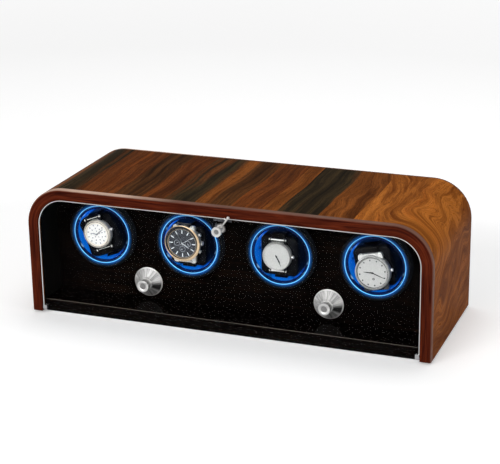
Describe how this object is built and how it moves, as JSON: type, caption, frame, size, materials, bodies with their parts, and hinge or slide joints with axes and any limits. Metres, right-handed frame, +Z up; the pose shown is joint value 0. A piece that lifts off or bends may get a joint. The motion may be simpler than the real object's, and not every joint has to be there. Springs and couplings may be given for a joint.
{
  "type": "watch winder box",
  "caption": "Arched wooden watch winder box with a drop-down glass door, blue-lit turning drums, watches on cushions and two selector knobs.",
  "frame": {"origin": "bottom centre of the bounding box, on the plane of the feet", "axes": "+X to the right along the width, -Y towards the glass door, +Z up"},
  "size_m": [0.54, 0.218, 0.174],
  "materials": {
    "veneer": "gloss",
    "mahogany": "gloss",
    "black_lacquer": "gloss",
    "foot_rubber": "matte",
    "screw_steel": "satin",
    "black_board": "matte",
    "batten_wood": "satin",
    "blue_light": "gloss",
    "board_green": "satin",
    "frame_aluminium": "satin",
    "bearing_brass": "satin",
    "motor_steel": "satin",
    "black_plastic": "matte",
    "polished_metal": "mirror",
    "clear_glass": "gloss",
    "nylon": "satin",
    "spun_aluminium": "satin",
    "drum_blue": "gloss",
    "black_leather": "satin",
    "watch_steel": "gloss"
  },
  "bodies": {
    "case": {"case_shell": "veneer", "front_edge_band": "mahogany", "rear_edge_band": "mahogany", "base_board": "black_lacquer", "recess_lining": "black_lacquer", "rubber_feet": "foot_rubber", "foot_screws": "screw_steel", "back_panel": "black_board", "back_panel_screws": "screw_steel", "fascia_panel": "black_lacquer", "corner_battens": "batten_wood", "drum_bezels": "black_lacquer", "light_rings": "blue_light", "led_boards": "board_green", "drive_frame_left": "frame_aluminium", "drive_frame_right": "frame_aluminium", "drive_frame_screws": "screw_steel", "spindle_bearings": "bearing_brass", "gear_motor_left": "motor_steel", "gear_motor_right": "motor_steel", "control_board": "board_green", "selector_switches": "black_plastic", "dc_inlet": "black_plastic", "latch_strike": "polished_metal", "hinge_pins": "polished_metal"},
    "door": {"glass_door": "clear_glass", "hinge_clips": "polished_metal", "latch_bushing": "nylon"},
    "latch": {"door_knob": "polished_metal", "latch_cam": "polished_metal"},
    "knob_left": {"selector_knob_left": "spun_aluminium"},
    "knob_right": {"selector_knob_right": "spun_aluminium"},
    "pinion_left": {"drive_pinion_left": "bearing_brass"},
    "pinion_right": {"drive_pinion_right": "bearing_brass"},
    "rotor_1": {"drum_cup_1": "drum_blue", "drum_gear_1": "nylon", "drum_spindle_1": "screw_steel"},
    "holder_1": {"cushion_1": "black_leather", "watch_case_1": "watch_steel", "watch_strap_1": "black_leather"},
    "rotor_2": {"drum_cup_2": "drum_blue", "drum_gear_2": "nylon", "drum_spindle_2": "screw_steel"},
    "holder_2": {"cushion_2": "black_leather", "watch_case_2": "watch_steel", "watch_strap_2": "black_leather"},
    "rotor_3": {"drum_cup_3": "drum_blue", "drum_gear_3": "nylon", "drum_spindle_3": "screw_steel"},
    "holder_3": {"cushion_3": "black_leather", "watch_case_3": "watch_steel", "watch_strap_3": "black_leather"},
    "rotor_4": {"drum_cup_4": "drum_blue", "drum_gear_4": "nylon", "drum_spindle_4": "screw_steel"},
    "holder_4": {"cushion_4": "black_leather", "watch_case_4": "watch_steel", "watch_strap_4": "black_leather"}
  },
  "joints": [
    {"name": "door_drop", "type": "hinge", "parent": "case", "child": "door", "pos_m": [0, -0.0904, 0.0068], "axis": [1, 0, 0], "range_deg": [0, 80]},
    {"name": "latch_turn", "type": "hinge", "parent": "door", "child": "latch", "pos_m": [0, -0.094, 0.146], "axis": [0, 1, 0], "range_deg": [0, 90]},
    {"name": "knob_left_turn", "type": "hinge", "parent": "case", "child": "knob_left", "pos_m": [-0.124, -0.05, 0.042], "axis": [0, 1, 0], "range_deg": [-150, 150]},
    {"name": "knob_right_turn", "type": "hinge", "parent": "case", "child": "knob_right", "pos_m": [0.124, -0.05, 0.042], "axis": [0, 1, 0], "range_deg": [-150, 150]},
    {"name": "drum_1_spin", "type": "hinge", "parent": "case", "child": "rotor_1", "pos_m": [-0.186, 0, 0.103], "axis": [0, 1, 0], "continuous": true},
    {"name": "drum_2_spin", "type": "hinge", "parent": "case", "child": "rotor_2", "pos_m": [-0.062, 0, 0.103], "axis": [0, 1, 0], "continuous": true},
    {"name": "drum_3_spin", "type": "hinge", "parent": "case", "child": "rotor_3", "pos_m": [0.062, 0, 0.103], "axis": [0, 1, 0], "continuous": true},
    {"name": "drum_4_spin", "type": "hinge", "parent": "case", "child": "rotor_4", "pos_m": [0.186, 0, 0.103], "axis": [0, 1, 0], "continuous": true},
    {"name": "pinion_left_spin", "type": "hinge", "parent": "case", "child": "pinion_left", "pos_m": [-0.124, 0.016, 0.103], "axis": [0, 1, 0], "continuous": true},
    {"name": "pinion_right_spin", "type": "hinge", "parent": "case", "child": "pinion_right", "pos_m": [0.124, 0.016, 0.103], "axis": [0, 1, 0], "continuous": true},
    {"name": "holder_1_slide", "type": "slide", "parent": "rotor_1", "child": "holder_1", "axis": [0, -1, 0], "range_m": [0, 0.016]},
    {"name": "holder_2_slide", "type": "slide", "parent": "rotor_2", "child": "holder_2", "axis": [0, -1, 0], "range_m": [0, 0.016]},
    {"name": "holder_3_slide", "type": "slide", "parent": "rotor_3", "child": "holder_3", "axis": [0, -1, 0], "range_m": [0, 0.016]},
    {"name": "holder_4_slide", "type": "slide", "parent": "rotor_4", "child": "holder_4", "axis": [0, -1, 0], "range_m": [0, 0.016]}
  ],
  "couplings": [
    {"joint": "drum_2_spin", "follows": "drum_1_spin", "ratio": 1},
    {"joint": "pinion_left_spin", "follows": "drum_1_spin", "ratio": -2.875},
    {"joint": "drum_4_spin", "follows": "drum_3_spin", "ratio": 1},
    {"joint": "pinion_right_spin", "follows": "drum_3_spin", "ratio": -2.875}
  ]
}
